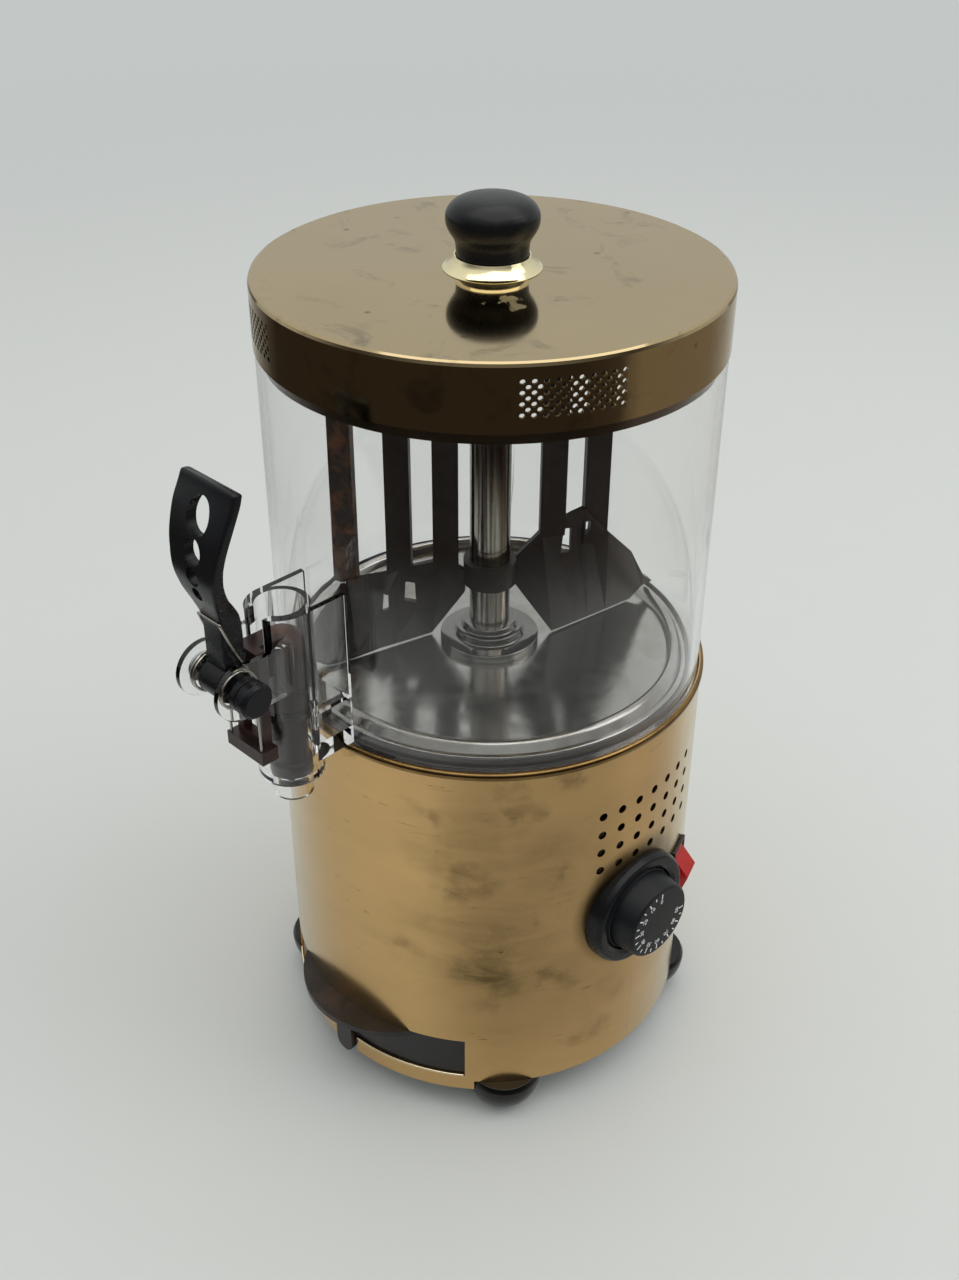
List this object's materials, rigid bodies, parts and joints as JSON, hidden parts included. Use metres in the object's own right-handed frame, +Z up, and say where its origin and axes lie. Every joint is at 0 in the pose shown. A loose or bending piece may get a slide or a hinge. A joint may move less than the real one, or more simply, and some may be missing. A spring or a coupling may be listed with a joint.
{
  "type": "hot chocolate dispenser",
  "caption": "Countertop hot chocolate dispenser: bronze-toned steel heater base, clear bowl with stirrer and lever tap, vented lid, thermostat dial and rocker switch.",
  "frame": {"origin": "on the drum's axis, at the height of the surface that the four feet stand on", "axes": "+Z up along the drum's axis, -Y to the front where the tap is, +X to the side with the dial and the switch"},
  "size_m": [0.2049, 0.2616, 0.4031],
  "materials": {
    "bronze_steel": "polished bronze-toned steel sheet with heat tarnish",
    "plain_steel": "plain zinc-plated steel",
    "mirror_steel": "polished stainless steel",
    "black_rubber": "glossy black rubber",
    "black_plastic": "satin black moulded plastic",
    "brown_plastic": "satin dark brown moulded plastic",
    "clear_plastic": "clear moulded polycarbonate",
    "brown_rubber": "dark brown silicone",
    "lid_steel": "polished bronze-toned steel",
    "brass": "polished brass",
    "sintered_bronze": "sintered bronze",
    "cream_nylon": "natural nylon",
    "cream_ceramic": "moulded thermoset",
    "element_steel": "oxidised steel tube",
    "aluminium": "rolled aluminium",
    "copper": "drawn copper",
    "red_plastic": "glossy red moulded plastic",
    "smoke_plastic": "glossy dark brown plastic",
    "spring_steel": "drawn spring wire",
    "painted_case": "grey powder coat"
  },
  "bodies": {
    "base": {"base_skin": "bronze_steel", "base_plate": "plain_steel", "foot_front_right": "black_rubber", "foot_front_left": "black_rubber", "foot_rear_right": "black_rubber", "foot_rear_left": "black_rubber", "foot_screws": "plain_steel", "foot_nuts": "plain_steel", "tie_rods": "plain_steel", "rod_screws": "plain_steel", "tray_bracket": "black_plastic", "bracket_screws": "plain_steel", "cable_gland": "black_plastic", "gland_nut": "black_plastic", "terminal_block": "cream_ceramic", "floor_pan": "mirror_steel", "pan_seal": "brown_rubber", "centre_collar": "mirror_steel", "centre_tube": "mirror_steel", "tube_nut": "plain_steel", "lower_bush": "sintered_bronze", "upper_bush": "sintered_bronze", "shaft_seal": "black_rubber", "heat_spreader": "aluminium", "heating_element": "element_steel", "overheat_cutout": "cream_ceramic", "thermostat_body": "cream_ceramic", "thermostat_bulb": "copper", "thermostat_nut": "plain_steel", "dial_bezel": "black_plastic", "switch_frame": "smoke_plastic", "switch_body": "black_plastic", "motor_can": "painted_case", "motor_stator": "copper", "gearbox_housing": "painted_case", "gearbox_cover": "painted_case", "gearbox_pillars": "plain_steel", "gearbox_screws": "plain_steel", "idler_arbor": "plain_steel"},
    "stirrer_drive": {"stirrer": "brown_plastic", "drive_shaft": "plain_steel", "output_gear": "cream_nylon"},
    "idler": {"idler_gear": "cream_nylon"},
    "rotor": {"motor_rotor": "spring_steel"},
    "dial": {"thermostat_knob": "black_plastic", "thermostat_shaft": "plain_steel"},
    "rocker": {"switch_rocker": "red_plastic"},
    "bowl": {"bowl": "clear_plastic", "hinge_pin": "black_plastic", "pin_clip": "plain_steel"},
    "lever": {"lever": "black_plastic", "return_spring": "spring_steel"},
    "piston": {"tap_piston": "brown_plastic", "piston_rings": "black_rubber", "spring_legs": "spring_steel"},
    "lid": {"lid": "lid_steel", "lid_ring": "plain_steel", "lid_ferrule": "brass", "lid_knob": "black_plastic", "lid_screw": "plain_steel"}
  },
  "joints": [
    {"name": "stirrer_turn", "type": "hinge", "parent": "base", "child": "stirrer_drive", "pos_m": [0, 0, 0.29], "axis": [0, 0, 1], "continuous": true},
    {"name": "idler_turn", "type": "hinge", "parent": "base", "child": "idler", "pos_m": [-0.03, 0, 0.12], "axis": [0, 0, 1], "continuous": true},
    {"name": "rotor_turn", "type": "hinge", "parent": "base", "child": "rotor", "pos_m": [-0.018, -0.02079, 0.1], "axis": [0, 0, 1], "continuous": true},
    {"name": "dial_turn", "type": "hinge", "parent": "base", "child": "dial", "pos_m": [0.09994, -0.00349, 0.1076], "axis": [0.9994, -0.0349, 0], "range_deg": [-270, 0]},
    {"name": "rocker_press", "type": "hinge", "parent": "base", "child": "rocker", "pos_m": [0.08589, 0.03297, 0.101], "axis": [-0.3584, 0.9336, 0], "range_deg": [0, 20]},
    {"name": "bowl_lift", "type": "slide", "parent": "base", "child": "bowl", "axis": [0, 0, 1], "range_m": [0, 0.15]},
    {"name": "lid_lift", "type": "slide", "parent": "bowl", "child": "lid", "axis": [0, 0, 1], "range_m": [0, 0.06]},
    {"name": "lever_pull", "type": "hinge", "parent": "bowl", "child": "lever", "pos_m": [0, -0.1428, 0.2524], "axis": [1, 0, 0], "range_deg": [0, 44], "stiffness_Nm_per_rad": 0.15, "springref_deg": -20.05},
    {"name": "piston_slide", "type": "slide", "parent": "bowl", "child": "piston", "axis": [0, 0, 1], "range_m": [0, 0.009]}
  ],
  "couplings": [
    {"joint": "idler_turn", "follows": "stirrer_turn", "ratio": -4},
    {"joint": "rotor_turn", "follows": "stirrer_turn", "ratio": 12},
    {"joint": "lever_pull", "follows": "piston_slide", "rad_per_m": 85.3}
  ]
}
